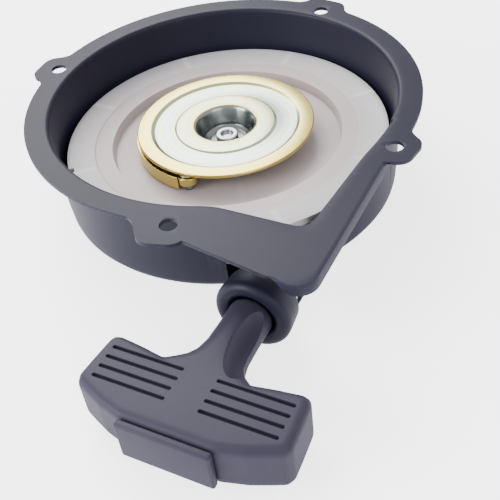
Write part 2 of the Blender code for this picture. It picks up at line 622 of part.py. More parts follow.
def make_cap(look):
    """The cap that closes the hollow: a plate outside and a plug inside."""
    wide, high = CAP
    back = BAR_FRONT - GAP
    low = (ROPE_X - wide, back - CAP_DEPTH, BAR_Z - high)
    cap = box("handle_cap", low, (ROPE_X + wide, back, BAR_Z + high), look)
    wide, high = POCKET[0] - GAP, POCKET[1] - GAP
    low = (ROPE_X - wide, back - 1, ROPE_Z - high)
    join(cap, box("cap_plug", low, (ROPE_X + wide, back + CAP_PLUG, ROPE_Z + high)))
    return cap


def main():
    clear_scene()
    painted = material("case_paint", (0.075, 0.080, 0.105), 0.0, 0.45)
    steel = material("plain_steel", (0.55, 0.55, 0.56), 1.0, 0.35)
    spring_steel = material("spring_steel", (0.22, 0.23, 0.26), 1.0, 0.35)
    nylon = material("reel_nylon", (0.62, 0.60, 0.60), 0.0, 0.42)
    bronze = material("bush_bronze", (0.55, 0.38, 0.18), 1.0, 0.40)
    zinc = material("yellow_zinc", (0.80, 0.76, 0.55), 1.0, 0.30)
    rope = material("rope_cord", (0.025, 0.025, 0.028), 0.0, 0.85)
    plastic = material("handle_plastic", (0.070, 0.070, 0.090), 0.0, 0.55)
    bright = material("bright_bolt", (0.75, 0.76, 0.78), 1.0, 0.25)
    make_case(painted)
    make_post(steel)
    make_reel(nylon)
    make_bush(bronze)
    make_rewind_spring(spring_steel)
    make_anchor(steel)
    make_plate(zinc)
    make_small_rings(steel, zinc)
    make_bolt(bright)
    make_ratchet(zinc)
    make_pin(steel)
    make_ratchet_spring(spring_steel)
    make_winding(rope)
    make_lead(rope)
    make_knot(rope)
    make_knot_washer(steel)
    make_guide(painted)
    make_retainer(steel)
    make_grip(plastic)
    make_cap(plastic)


main()
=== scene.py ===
"""Looks of a recoil starter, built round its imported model.

New pieces are given in millimetres, and made into metres when they become objects.
"""

import json
from math import acos, atan2, copysign, cos, degrees, hypot, pi, radians, sin, sqrt

import bmesh
import bpy
from mathutils import Matrix, Vector

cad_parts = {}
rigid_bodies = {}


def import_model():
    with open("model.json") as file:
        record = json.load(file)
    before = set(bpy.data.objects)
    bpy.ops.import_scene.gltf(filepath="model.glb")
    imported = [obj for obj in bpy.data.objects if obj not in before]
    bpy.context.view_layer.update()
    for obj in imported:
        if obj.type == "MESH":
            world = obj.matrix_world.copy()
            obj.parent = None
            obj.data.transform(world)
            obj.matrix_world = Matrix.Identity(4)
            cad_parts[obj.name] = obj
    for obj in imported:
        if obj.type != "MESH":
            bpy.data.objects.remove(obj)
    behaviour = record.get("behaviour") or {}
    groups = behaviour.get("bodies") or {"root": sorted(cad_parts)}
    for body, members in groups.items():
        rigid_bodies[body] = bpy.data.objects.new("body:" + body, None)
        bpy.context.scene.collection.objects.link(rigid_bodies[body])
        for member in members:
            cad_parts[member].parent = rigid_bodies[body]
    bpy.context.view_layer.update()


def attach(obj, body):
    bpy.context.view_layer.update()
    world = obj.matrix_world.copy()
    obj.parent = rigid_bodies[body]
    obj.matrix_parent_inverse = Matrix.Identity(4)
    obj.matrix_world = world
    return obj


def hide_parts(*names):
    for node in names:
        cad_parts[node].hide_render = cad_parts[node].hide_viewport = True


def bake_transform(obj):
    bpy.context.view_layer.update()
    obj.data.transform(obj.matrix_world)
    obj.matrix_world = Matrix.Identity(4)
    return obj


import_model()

# ---------------------------------------------------------------- camera, light and floor
# A long lens looks down from the rope's side at a pale table, with a large soft light up on the left
# and a weak fill in front of it; the table glows a little, as paper lit from below does.
MM = 0.001
VIEW_FROM = Vector((190.0, -306.6, 272.3)) * MM
VIEW_BACK = Vector((0.3843, -0.6346, 0.6706)).normalized()
VIEW_ROLL = radians(-7.58)
LENS = 62.67

camera_data = bpy.data.cameras.new("camera")
camera_data.lens = LENS
camera_data.sensor_width = 36.0
camera_data.clip_start = 0.01
camera = bpy.data.objects.new("camera", camera_data)
bpy.context.scene.collection.objects.link(camera)
level = Vector((0, 0, 1)).cross(VIEW_BACK).normalized()
upward = VIEW_BACK.cross(level)
across = level * cos(VIEW_ROLL) + upward * sin(VIEW_ROLL)
upward = VIEW_BACK.cross(across)
facing = Matrix((across, upward, VIEW_BACK)).transposed().to_4x4()
camera.matrix_world = Matrix.Translation(VIEW_FROM) @ facing
bpy.context.scene.camera = camera


def lamp(name, place, aim, size, power, colour):
    """A square soft box, its place and aim in metres."""
    data = bpy.data.lights.new(name, "AREA")
    data.size = size
    data.energy = power
    data.color = colour
    made = bpy.data.objects.new(name, data)
    made.location = place
    made.rotation_mode = "QUATERNION"
    made.rotation_quaternion = (Vector(aim) - Vector(place)).to_track_quat("-Z", "Y")
    bpy.context.scene.collection.objects.link(made)


lamp("key_light", (-0.62, 0.52, 0.85), (0, 0, 0), 0.85, 18.0, (1.0, 0.98, 0.97))
lamp("side_light", (0.75, -0.45, 0.6), (0.06, -0.1, 0), 0.6, 3.0, (0.97, 0.96, 1.0))
lamp("fill_light", (-0.55, -0.75, 0.45), (0.03, -0.1, 0), 0.5, 10.0, (0.93, 0.94, 1.0))

world = bpy.data.worlds.new("studio")
world.use_nodes = True
world.node_tree.nodes["Background"].inputs["Color"].default_value = (0.90, 0.90, 0.97, 1.0)
world.node_tree.nodes["Background"].inputs["Strength"].default_value = 1.25
bpy.context.scene.world = world

floor_mesh = bmesh.new()
bmesh.ops.create_grid(floor_mesh, x_segments=2, y_segments=2, size=30.0)
data = bpy.data.meshes.new("floor")
floor_mesh.to_mesh(data)
floor_mesh.free()
floor = bpy.data.objects.new("floor", data)
floor.location.z = -0.0005
bpy.context.scene.collection.objects.link(floor)
paper = bpy.data.materials.new("table_paper")
paper.use_nodes = True
shader = paper.node_tree.nodes["Principled BSDF"]
shader.inputs["Base Color"].default_value = (0.90, 0.895, 0.93, 1.0)
shader.inputs["Roughness"].default_value = 0.6
shader.inputs["Emission Color"].default_value = (0.97, 0.96, 1.0, 1.0)
seen = paper.node_tree.nodes.new("ShaderNodeLightPath")
glow = paper.node_tree.nodes.new("ShaderNodeMath")
glow.operation = "MULTIPLY_ADD"
glow.inputs[1].default_value, glow.inputs[2].default_value = 2.2, 0.7
paper.node_tree.links.new(seen.outputs["Is Camera Ray"], glow.inputs[0])
paper.node_tree.links.new(glow.outputs["Value"], shader.inputs["Emission Strength"])
data.materials.append(paper)

# ---------------------------------------------------------------- case: pan, flange, ears and roof
# The housing is one pressing of 1.8 mm steel, powder coated satin slate grey: a round pan, a flange with four
# bolt ears and a flat roof over the rope's way out, its outer edge turned down. It is spun as a thin skin,
# drawn out to the mouth and the outer edge, given its sheet thickness, and punched.
SHEET = 1.8
TOP = 49.5
MOUTH, RIM = 83.4, 95.0
OUTLET_Y, OUTLET_SIDE, OUTLET_TURN = -76.0, 82.9, radians(-4.3)
ROUND_CORNER = 7.0
EARS = ((183.5, 8.6, 11.5), (81.5, 7.0, 12.5), (-9.2, 8.5, 11.0), (-76.3, 13.5, 11.5))
BOLT_HOLES = ((92.4, 183.3), (90.0, 80.7), (93.3, -9.4), (96.8, -75.2))


def grain_group():
    """Cloudy tone, fine grain and worn edges, as three masks for any finish here."""
    group = bpy.data.node_groups.new("surface_grain", "ShaderNodeTree")
    for label, value in (("Cloud Scale", 20.0), ("Grain Scale", 900.0), ("Wear", 0.5)):
        socket = group.interface.new_socket(label, in_out="INPUT", socket_type="NodeSocketFloat")
        socket.default_value = value
    for label in ("Cloud", "Grain", "Edge"):
        group.interface.new_socket(label, in_out="OUTPUT", socket_type="NodeSocketFloat")
    node, link = group.nodes.new, group.links.new
    came, went = node("NodeGroupInput"), node("NodeGroupOutput")
    place = node("ShaderNodeTexCoord").outputs["Object"]
    cloud, grain = node("ShaderNodeTexNoise"), node("ShaderNodeTexNoise")
    cloud.inputs["Detail"].default_value = 4.0
    grain.inputs["Detail"].default_value = 2.0
    for noise, scale, out in ((cloud, "Cloud Scale", "Cloud"), (grain, "Grain Scale", "Grain")):
        link(place, noise.inputs["Vector"])
        link(came.outputs[scale], noise.inputs["Scale"])
        link(noise.outputs["Fac"], went.inputs[out])
    edge, spread, worn = node("ShaderNodeNewGeometry"), node("ShaderNodeMapRange"), node("ShaderNodeMath")
    spread.inputs["From Min"].default_value = 0.54
    spread.inputs["From Max"].default_value = 0.68
    worn.operation = "MULTIPLY"
    link(edge.outputs["Pointiness"], spread.inputs["Value"])
    link(spread.outputs["Result"], worn.inputs[0])
    link(came.outputs["Wear"], worn.inputs[1])
    link(worn.outputs["Value"], went.inputs["Edge"])
    return group


GRAIN = grain_group()


def finish(name, tones, worn, roughness, metallic=0.0, cloud=20.0, grain=900.0, wear=0.3, depth=0.02):
    """Two tones drifting into each other, a fine grain in the surface and lighter worn edges."""
    made = bpy.data.materials.new(name)
    made.use_nodes = True
    tree = made.node_tree
    node, link = tree.nodes.new, tree.links.new
    shader = tree.nodes["Principled BSDF"]
    pattern = node("ShaderNodeGroup")
    pattern.node_tree = GRAIN
    for label, value in (("Cloud Scale", cloud), ("Grain Scale", grain), ("Wear", wear)):
        pattern.inputs[label].default_value = value
    tone = node("ShaderNodeValToRGB")
    tone.color_ramp.elements[0].position, tone.color_ramp.elements[1].position = 0.32, 0.68
    tone.color_ramp.elements[0].color = (*tones[0], 1.0)
    tone.color_ramp.elements[1].color = (*tones[1], 1.0)
    rub = node("ShaderNodeMix")
    rub.data_type = "RGBA"
    rub.inputs["B"].default_value = (*worn, 1.0)
    link(pattern.outputs["Cloud"], tone.inputs["Fac"])
    link(pattern.outputs["Edge"], rub.inputs["Factor"])
    link(tone.outputs["Color"], rub.inputs["A"])
    link(rub.outputs["Result"], shader.inputs["Base Color"])
    gloss = node("ShaderNodeMapRange")
    gloss.inputs["To Min"].default_value, gloss.inputs["To Max"].default_value = roughness
    link(pattern.outputs["Grain"], gloss.inputs["Value"])
    link(gloss.outputs["Result"], shader.inputs["Roughness"])
    shader.inputs["Metallic"].default_value = metallic
    bump = node("ShaderNodeBump")
    bump.inputs["Strength"].default_value = 0.35
    bump.inputs["Distance"].default_value = depth * MM
    link(pattern.outputs["Grain"], bump.inputs["Height"])
    link(bump.outputs["Normal"], shader.inputs["Normal"])
    return made


case_paint = finish("powder_coat_slate", ((0.010, 0.0095, 0.021), (0.014, 0.0135, 0.027)),
                    (0.035, 0.034, 0.055), (0.36, 0.50), cloud=14.0, grain=1400.0, depth=0.03)
case_paint.node_tree.nodes["Principled BSDF"].inputs["Specular IOR Level"].default_value = 0.2


def piece(name, bm, look, body, stands_for=(), crease=38):
    """Closes and turns out a shape built in millimetres, and makes it an object that rides on a body."""
    bmesh.ops.remove_doubles(bm, verts=bm.verts, dist=0.0005)
    bmesh.ops.recalc_face_normals(bm, faces=bm.faces)
    return shown(name, bm, look, body, stands_for, crease)


def shown(name, bm, look, body, stands_for=(), crease=38):
    """Makes a shape built in millimetres an object as it is, its faces neither merged nor turned."""
    bmesh.ops.scale(bm, vec=(MM, MM, MM), verts=bm.verts)
    mesh = bpy.data.meshes.new(name)
    bm.to_mesh(mesh)
    bm.free()
    mesh.materials.append(look)
    mesh.shade_smooth()
    mesh.set_sharp_from_angle(angle=radians(crease))
    obj = bpy.data.objects.new(name, mesh)
    bpy.context.scene.collection.objects.link(obj)
    if body:
        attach(obj, body)
    if stands_for:
        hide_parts(*stands_for)
    return obj


def soften(obj, width, segments=3, angle=32):
    """Rounds the sharp edges of an object, its width in millimetres."""
    rounding = obj.modifiers.new("softened_edges", "BEVEL")
    rounding.width = width * MM
    rounding.segments = segments
    rounding.limit_method = "ANGLE"
    rounding.angle_limit = radians(angle)


def block(size, centre):
    """A cuboid with these sides about this centre."""
    bm = bmesh.new()
    bmesh.ops.create_cube(bm, size=1.0)
    bmesh.ops.scale(bm, vec=size, verts=bm.verts)
    bmesh.ops.translate(bm, vec=centre, verts=bm.verts)
    return bm


def pressed(bm, outline, by):
    """A closed outline, filled and drawn out along a vector."""
    flat = bm.faces.new([bm.verts.new(p) for p in outline])
    grown = bmesh.ops.extrude_face_region(bm, geom=[flat])["geom"]
    bmesh.ops.translate(bm, vec=by, verts=[v for v in grown if isinstance(v, bmesh.types.BMVert)])


def joined(bm, rings):
    """Joins rings of as many points each into a tube."""
    for a, b in zip(rings, rings[1:]):
        pairs = [(ring[i - 1], ring[i]) for ring in (a, b) for i in range(len(ring))]
        edges = [bm.edges.get(pair) for pair in pairs]
        bmesh.ops.bridge_loops(bm, edges=[e for e in edges if e])


def line(bm, points):
    """A chain of edges through these points."""
    verts = [bm.verts.new(p) for p in points]
    return verts + [bm.edges.new(pair) for pair in zip(verts, verts[1:])]


def turned(profile, steps, along="Z", centre=(0.0, 0.0), closed=True):
    """A profile of (radius, place) turned a full circle about Z, or about the rope's line."""
    bm = bmesh.new()
    points = list(profile) + (list(profile[:1]) if closed else [])
    if along == "Z":
        chain, axis, cent = [(r, 0, p) for r, p in points], (0, 0, 1), (0, 0, 0)
    else:
        chain, axis = [(centre[0] + r, p, centre[1]) for r, p in points], (0, 1, 0)
        cent = (centre[0], 0, centre[1])
    bmesh.ops.spin(bm, geom=line(bm, chain), cent=cent, axis=axis, dvec=(0, 0, 0), angle=2 * pi,
                   steps=steps, use_merge=True, use_duplicate=False)
    return bm


def punched(obj, cutters):
    """Cuts closed shapes, built in millimetres, out of an object, and leaves none of them behind."""
    bpy.context.view_layer.update()
    for number, bm in enumerate(cutters):
        bmesh.ops.recalc_face_normals(bm, faces=bm.faces)
        bmesh.ops.scale(bm, vec=(MM, MM, MM), verts=bm.verts)
        mesh = bpy.data.meshes.new("punch")
        bm.to_mesh(mesh)
        bm.free()
        tool = bpy.data.objects.new("punch", mesh)
        bpy.context.scene.collection.objects.link(tool)
        hole = obj.modifiers.new(f"hole_{number}", "BOOLEAN")
        hole.solver = "EXACT"
        hole.object = tool
    settle(obj)
    for tool in [o for o in bpy.data.objects if o.name.startswith("punch")]:
        bpy.data.objects.remove(tool)


def settle(obj):
    """Applies an object's modifiers."""
    bpy.context.view_layer.update()
    ready = bpy.data.meshes.new_from_object(obj.evaluated_get(bpy.context.evaluated_depsgraph_get()))
    ready.name = obj.name
    obj.modifiers.clear()
    obj.data = ready


def smooth_larger(a, b, width):
    """The larger of two lengths, with a smooth change from one to the other over this width."""
    part = max(width - abs(a - b), 0.0) / width
    return max(a, b) + part * part * width / 4


def mouth_reach(turn):
    """How far the inside edge of the flange stands from the axis: round, but square at the rope's way out."""
    if not radians(-80) < turn < radians(3):
        return MOUTH
    centre_y = OUTLET_Y + ROUND_CORNER
    centre_x = (OUTLET_SIDE - ROUND_CORNER - centre_y * sin(OUTLET_TURN)) / cos(OUTLET_TURN)
    to_edge = OUTLET_Y / sin(turn) if turn < radians(-20) else 1e3
    to_side = OUTLET_SIDE / cos(turn - OUTLET_TURN)
    reach = min(to_edge, to_side)
    if to_edge * cos(turn) > centre_x and (to_side * sin(turn) < centre_y):
        along = centre_x * cos(turn) + centre_y * sin(turn)
        inside = along * along - centre_x**2 - centre_y**2 + ROUND_CORNER**2
        if inside > 0:
            reach = min(reach, along + sqrt(inside))
    return smooth_larger(MOUTH, reach, 2.8)


def tab_reach(offset, reach, half):
    """A rounded tab seen from the axis, its sides leaning a little outwards."""
    tip, round_off, lean = RIM + reach, 7.0, 0.45
    if abs(offset) > radians(14):
        return 0.0
    c, s = cos(offset), abs(sin(offset))
    side = (half + lean * (tip - round_off)) / (s + lean * c) if s > 0 else 1e3
    far = tip / c
    top = min(side, far)
    edge = half - round_off * sqrt(1 + lean * lean)
    centre = (tip - round_off, edge)
    along = centre[0] * c + centre[1] * s
    inside = along * along - centre[0] ** 2 - centre[1] ** 2 + round_off**2
    if inside > 0 and far * s > edge and side * c > tip - round_off * (1 + lean):
        top = min(top, along + sqrt(inside))
    return top


def rim_reach(turn):
    """The outer edge: a round flange, four ears, and the straight edges of the roof."""
    reach = RIM
    for direction, length, half in EARS:
        offset = (turn - radians(direction) + pi) % (2 * pi) - pi
        reach = smooth_larger(reach, tab_reach(offset, length, half), 5.0)
    if radians(-72) < turn < radians(-8):
        slope = radians(9.1)
        start = (106.1 * cos(radians(-70.7)), 106.1 * sin(radians(-70.7)))
        side_x, corner = 92.5, 8.5
        centre_x = side_x - corner
        centre_y = start[1] + (corner - (centre_x - start[0]) * sin(slope)) / cos(slope)
        c, s = cos(turn), sin(turn)
        to_edge = (start[0] * sin(slope) + start[1] * cos(slope)) / (c * sin(slope) + s * cos(slope))
        to_side = side_x / c
        roof = min(to_edge, to_side)
        along = centre_x * c + centre_y * s
        inside = along * along - centre_x**2 - centre_y**2 + corner**2
        if inside > 0 and to_edge * c > centre_x - corner * sin(slope) and to_side * s < centre_y:
            roof = min(roof, along + sqrt(inside))
        reach = max(reach, roof)
    return reach


def lip_share(turn):
    """Where the roof's edge is turned down: from just before its corner to near the far ear."""
    start, full, end, gone = (radians(v) for v in (-55.0, -52.0, -18.5, -15.5))
    rise = min(max((turn - start) / (full - start), 0.0), 1.0)
    fall = min(max((gone - turn) / (gone - end), 0.0), 1.0)
    return rise * rise * (3 - 2 * rise) * fall * fall * (3 - 2 * fall)


COLUMNS = 1200
LEAN = 2.0
FOOT_R, FOOT_BEND = 78.2, 3.2
skin = [(4.0, SHEET), (40.0, SHEET), (72.0, SHEET), (76.6, SHEET)]
for t in (22, 45, 68, 90):
    skin.append((FOOT_R + FOOT_BEND * sin(radians(t)), SHEET + FOOT_BEND * (1 - cos(radians(t)))))
skin += [(MOUTH - LEAN * (TOP - z) / TOP, z) for z in (12.0, 27.0)]
WALL_HEIGHTS, POCKET_FLOOR = (27.6, 29.0, 38.0, TOP - 2.6), 27.1
shell = bmesh.new()
chain = [(r, 0, z) for r, z in skin] + [(MOUTH, 0, z) for z in WALL_HEIGHTS]
ROLL, ROLL_BEND = 5, 2.0
chain += [(MOUTH + 2.6 * k / ROLL, 0, TOP - 2 + 2 * k / ROLL) for k in range(ROLL)]
FACE = (0.0, 0.25, 0.5, 0.75, 0.93)
chain += [(MOUTH + 2.6 + k, 0, TOP) for k in range(len(FACE))]
chain += [(RIM - 1.6, 0, TOP + 0.1), (RIM - 0.7, 0, TOP + 0.2), (RIM, 0, TOP + 0.3), (RIM, 0, TOP + 0.4)]
bmesh.ops.spin(shell, geom=line(shell, chain), cent=(0, 0, 0), axis=(0, 0, 1), dvec=(0, 0, 0), angle=2 * pi,
               steps=COLUMNS, use_merge=True, use_duplicate=False)
rings = {}
for vert in shell.verts:
    key = tuple(round(v, 3) for v in (hypot(vert.co.x, vert.co.y), vert.co.z))
    rings.setdefault(key, []).append(vert)
order = [tuple(round(v, 3) for v in (x, z)) for x, _, z in chain]
floor_rings = len(skin)
ring_of = {}
for key, verts in rings.items():
    number = min(range(len(order)), key=lambda i: abs(order[i][0] - key[0]) + abs(order[i][1] - key[1]))
    for vert in verts:
        ring_of[vert] = number
LIP = 5.5
for vert, number in ring_of.items():
    turn = atan2(vert.co.y, vert.co.x)
    mouth, rim, lip = mouth_reach(turn), rim_reach(turn), lip_share(turn)
    step = number - floor_rings
    if step < 0:
        continue
    if step < len(WALL_HEIGHTS):
        z = WALL_HEIGHTS[step]
        wall = MOUTH - LEAN * (TOP - z) / TOP
        out = mouth - MOUTH
        reach = wall + out * (0.82, 1.0, 1.0, 1.0)[step]
        if out > 0.05 and step == 0:
            z = POCKET_FLOOR
    elif step < len(WALL_HEIGHTS) + ROLL:
        bend = radians(90) * (step - len(WALL_HEIGHTS)) / ROLL
        reach, z = mouth + ROLL_BEND * (1 - cos(bend)), TOP - ROLL_BEND * (1 - sin(bend))
    elif step < len(WALL_HEIGHTS) + ROLL + len(FACE):
        share = FACE[step - len(WALL_HEIGHTS) - ROLL]
        reach, z = mouth + ROLL_BEND + (rim - 1.6 - mouth - ROLL_BEND) * share, TOP
    else:
        last = step - len(WALL_HEIGHTS) - ROLL - len(FACE)
        reach = rim - (1.6, 0.7 - 0.25 * lip, 0.35 * (1 - lip), 0.0)[last]
        z = TOP - (0.0, 0.25, 1.2, LIP)[last] * lip
    vert.co = Vector((reach * cos(turn), reach * sin(turn), z))
WINDOW_START, WINDOW_END, NOTCH_START = -64, -37, -66
opened = []
for face in shell.faces:
    middle = face.calc_center_median()
    turn = degrees(atan2(middle.y, middle.x))
    in_wall = max(ring_of[v] for v in face.verts) <= floor_rings + len(WALL_HEIGHTS)
    in_window = WINDOW_START < turn < WINDOW_END and middle.z > 5
    in_notch = NOTCH_START < turn <= WINDOW_START and middle.z > 26
    if in_wall and (in_window or in_notch):
        opened.append(face)
bmesh.ops.delete(shell, geom=opened, context="FACES")
bmesh.ops.contextual_create(shell, geom=[e for e in shell.edges if all(ring_of.get(v) == 0 for v in e.verts)])
bmesh.ops.recalc_face_normals(shell, faces=shell.faces)
if sum(f.normal.z for f in shell.faces if f.calc_center_median().z > TOP - 0.01) < 0:
    bmesh.ops.reverse_faces(shell, faces=shell.faces)
case_shell = shown("case_shell", shell, case_paint, "case", ("starter_case",), crease=50)
sheet_metal = case_shell.modifiers.new("sheet", "SOLIDIFY")
sheet_metal.thickness = SHEET * MM
sheet_metal.offset = -1.0
settle(case_shell)


def drilled(x, y, radius, low, high, steps=48):
    """A round cutter standing on Z between two heights."""
    bm = bmesh.new()
    bmesh.ops.create_cone(bm, cap_ends=True, segments=steps, radius1=radius, radius2=radius, depth=high - low,
                          matrix=Matrix.Translation((x, y, (low + high) / 2)))
    return bm


HOLE_R, VENTS, VENT_R, VENT_FROM, VENT_TO = 3.9, 12, 3.5, 61.5, 68.5
holes = [drilled(r * cos(radians(a)), r * sin(radians(a)), HOLE_R, 44, 54) for r, a in BOLT_HOLES]
for k in range(VENTS):
    vent = drilled(0, 0, VENT_R, -3, 4, 24)
    for vert in vent.verts:
        vert.co.x += VENT_FROM if vert.co.x < 0 else VENT_TO
    to_place = Matrix.Rotation(radians(360 / VENTS * (k + 0.5)), 3, "Z")
    bmesh.ops.rotate(vent, cent=(0, 0, 0), matrix=to_place, verts=vent.verts)
    holes.append(vent)
punched(case_shell, holes)
soften(case_shell, 0.3, 2, 50)

# ---------------------------------------------------------------- bracket of the rope guide
# An upright plate of the same painted 1.8 mm steel with a round hole for the guide, and the short tongue that
# it stands on. Both are cut as flat plates and their edges eased.
ROPE_X, ROPE_Z = 61.6, 17.0
BRACKET_Y, BRACKET_R, BARREL_R = -87.5, 13.5, 9.9
bracket = bmesh.new()
half_foot = 8.0
foot_turn = degrees(acos(half_foot / BRACKET_R))
outline = [(ROPE_X - half_foot, BRACKET_Y, 0), (ROPE_X + half_foot, BRACKET_Y, 0)]
for k in range(33):
    turn = radians(-foot_turn + (180 + 2 * foot_turn) * k / 32)
    outline.append((ROPE_X + BRACKET_R * cos(turn), BRACKET_Y, ROPE_Z + BRACKET_R * sin(turn)))
pressed(bracket, outline, (0, SHEET, 0))
guide_bracket = piece("guide_bracket", bracket, case_paint, "case")
bore = bmesh.new()
along_rope = Matrix.Translation((ROPE_X, BRACKET_Y + 1, ROPE_Z)) @ Matrix.Rotation(pi / 2, 4, "X")
bmesh.ops.create_cone(bore, cap_ends=True, segments=64, radius1=BARREL_R + 0.3, radius2=BARREL_R + 0.3,
                      depth=12, matrix=along_rope)
punched(guide_bracket, [bore])
soften(guide_bracket, 0.35, 2)
TONGUE_LONG, OVERLAP = 26.0, 0.1
tongue = block((2 * half_foot, TONGUE_LONG, SHEET),
               (ROPE_X, BRACKET_Y + SHEET + TONGUE_LONG / 2 - OVERLAP, SHEET / 2))
bracket_tongue = piece("bracket_tongue", tongue, case_paint, "case")
soften(bracket_tongue, 0.4, 2)

# ---------------------------------------------------------------- reel
# A reel of natural nylon, faintly translucent, moulded in one piece: a wide upper flange with a raised outer
# ring and a notch for the rope's start, a groove for the cord and a chamber under it for the spring.
nylon = finish("natural_nylon", ((0.47, 0.445, 0.445), (0.54, 0.515, 0.51)), (0.62, 0.60, 0.60), (0.34, 0.46),
               cloud=16.0, grain=420.0, depth=0.012)


def reel_tones_and_shade(made):
    """Ring bands of tone about the axis, with painted shade darkening the recess under the plate and a pale
    pink band beyond it, and a faint line over each of eight ribs under the outer part.
    """
    tree = made.node_tree
    node, link = tree.nodes.new, tree.links.new
    shader = tree.nodes["Principled BSDF"]
    before = shader.inputs["Base Color"].links[0].from_socket
    place = node("ShaderNodeTexCoord")
    flat, reach = node("ShaderNodeVectorMath"), node("ShaderNodeVectorMath")
    flat.operation, reach.operation = "MULTIPLY", "LENGTH"
    flat.inputs[1].default_value = (10, 10, 0)
    band, tint = node("ShaderNodeValToRGB"), node("ShaderNodeMix")
    # Painted shade: grey inside 58 mm, where the recess lies in the friction plate's shadow. Then pale pink
    # from 58 to 66 mm, white out to 77 mm, and darker again towards the rim.
    for spot, shade in ((0.0, (0.78, 0.75, 0.74)), (0.58, (0.97, 0.87, 0.84)), (0.655, (0.98, 0.88, 0.85)),
                        (0.67, (1.0, 1.0, 1.0)), (0.77, (1.0, 1.0, 0.995)), (0.80, (0.86, 0.84, 0.83))):
        band.color_ramp.elements.new(spot).color = (*shade, 1.0)
    band.color_ramp.elements[0].color = (0.78, 0.75, 0.74, 1)
    band.color_ramp.elements[-1].color = (0.8, 0.8, 0.8, 1)
    tint.data_type, tint.blend_type = "RGBA", "MULTIPLY"
    tint.inputs["Factor"].default_value = 1.0
    link(place.outputs["Object"], flat.inputs[0])
    link(flat.outputs["Vector"], reach.inputs[0])
    link(reach.outputs["Value"], band.inputs["Fac"])
    link(before, tint.inputs["A"])
    link(band.outputs["Color"], tint.inputs["B"])
    split = node("ShaderNodeSeparateXYZ")
    around, beat, wave, rib = (node("ShaderNodeMath") for _ in range(4))
    around.operation, beat.operation = "ARCTAN2", "MULTIPLY"
    wave.operation, rib.operation = "COSINE", "MULTIPLY"
    beat.inputs[1].default_value = 8.0
    thin, outer, ribbed = node("ShaderNodeMapRange"), node("ShaderNodeMapRange"), node("ShaderNodeMix")
    thin.inputs["From Min"].default_value, thin.inputs["From Max"].default_value = 0.975, 0.999
    outer.inputs["From Min"].default_value, outer.inputs["From Max"].default_value = 0.665, 0.675
    outer.inputs["To Max"].default_value = 0.35
    ribbed.data_type = "RGBA"
    ribbed.inputs["B"].default_value = (0.80, 0.79, 0.78, 1.0)
    link(place.outputs["Object"], split.inputs["Vector"])
    link(split.outputs["Y"], around.inputs[0])
    link(split.outputs["X"], around.inputs[1])
    link(around.outputs["Value"], beat.inputs[0])
    link(beat.outputs["Value"], wave.inputs[0])
    link(wave.outputs["Value"], thin.inputs["Value"])
    link(reach.outputs["Value"], outer.inputs["Value"])
    link(thin.outputs["Result"], rib.inputs[0])
    link(outer.outputs["Result"], rib.inputs[1])
    link(rib.outputs["Value"], ribbed.inputs["Factor"])
    link(tint.outputs["Result"], ribbed.inputs["A"])
    link(ribbed.outputs["Result"], shader.inputs["Base Color"])


reel_tones_and_shade(nylon)
nylon_shader = nylon.node_tree.nodes["Principled BSDF"]
nylon_shader.inputs["Subsurface Weight"].default_value = 0.12
nylon_shader.inputs["Subsurface Radius"].default_value = (0.004, 0.0028, 0.0024)
nylon_shader.inputs["Subsurface Scale"].default_value = 1.0
REEL_R, REEL_TOP = 79.5, 27.3
reel_profile = [(9.3, 13.5), (9.3, 17.2), (15.5, 17.2), (17.5, 22.0), (56.0, 22.0), (57.2, 26.6),
                (65.4, 26.6), (66.0, 27.1), (76.3, 27.1), (76.8, REEL_TOP), (REEL_R, REEL_TOP),
                (REEL_R, 23.9), (61.2, 23.9), (57.2, 19.4),
                (46.1, 19.4), (46.1, 14.2), (REEL_R, 14.2), (REEL_R, 11.4), (46.1, 11.4),
                (46.1, 3.0), (43.1, 3.0), (43.1, 18.8), (19.5, 18.8), (17.5, 13.5)]
reel = piece("rope_reel", turned(reel_profile, 256), nylon, "reel", ("reel",))
NOTCH_TURN = radians(-137)
notch = block((5.0, 3.2, 12.0), (REEL_R, 0, REEL_TOP - 3.0))
bmesh.ops.rotate(notch, cent=(0, 0, 0), matrix=Matrix.Rotation(NOTCH_TURN, 3, "Z"), verts=notch.verts)
PIN_Y, PIN_R = -39.8, 2.6
punched(reel, [notch, drilled(0, PIN_Y, PIN_R, 17, 26, 32)])
soften(reel, 0.35, 3)

# ---------------------------------------------------------------- rope on the reel
# Three flat turns of 4 mm braided black cord lie in the reel's groove, side by side, and turn with it. The
# cord is a round strand carried along a spiral.
cord_black = finish("braided_cord", ((0.014, 0.014, 0.017), (0.03, 0.03, 0.034)), (0.05, 0.05, 0.055),
                    (0.7, 0.9), cloud=120.0, grain=1500.0, depth=0.05)
braid_tree = cord_black.node_tree
weave = braid_tree.nodes.new("ShaderNodeTexWave")
weave.inputs["Scale"].default_value = 260.0
weave.inputs["Distortion"].default_value = 1.5
weave_place = braid_tree.nodes.new("ShaderNodeTexCoord")
weave_bump = braid_tree.nodes.new("ShaderNodeBump")
weave_bump.inputs["Strength"].default_value = 0.6
weave_bump.inputs["Distance"].default_value = 0.0003
braid_tree.links.new(weave_place.outputs["Object"], weave.inputs["Vector"])
braid_tree.links.new(weave.outputs["Fac"], weave_bump.inputs["Height"])
braid_tree.links.new(weave_bump.outputs["Normal"], braid_tree.nodes["Principled BSDF"].inputs["Normal"])
ROPE = 4.0


def strand(name, points, thickness, look, body, stands_for, sides=24):
    """A round cord through points in millimetres, its section carried from point to point."""
    bm = bmesh.new()
    rings = []
    for k, point in enumerate(points):
        ahead = Vector(points[min(k + 1, len(points) - 1)]) - Vector(points[max(k - 1, 0)])
        turn = ahead.to_track_quat("Z", "Y").to_matrix().to_4x4()
        made = bmesh.ops.create_circle(bm, cap_ends=k in (0, len(points) - 1), segments=sides,
                                       radius=thickness / 2, matrix=Matrix.Translation(point) @ turn)
        rings.append(made["verts"])
    joined(bm, rings)
    return piece(name, bm, look, body, stands_for)


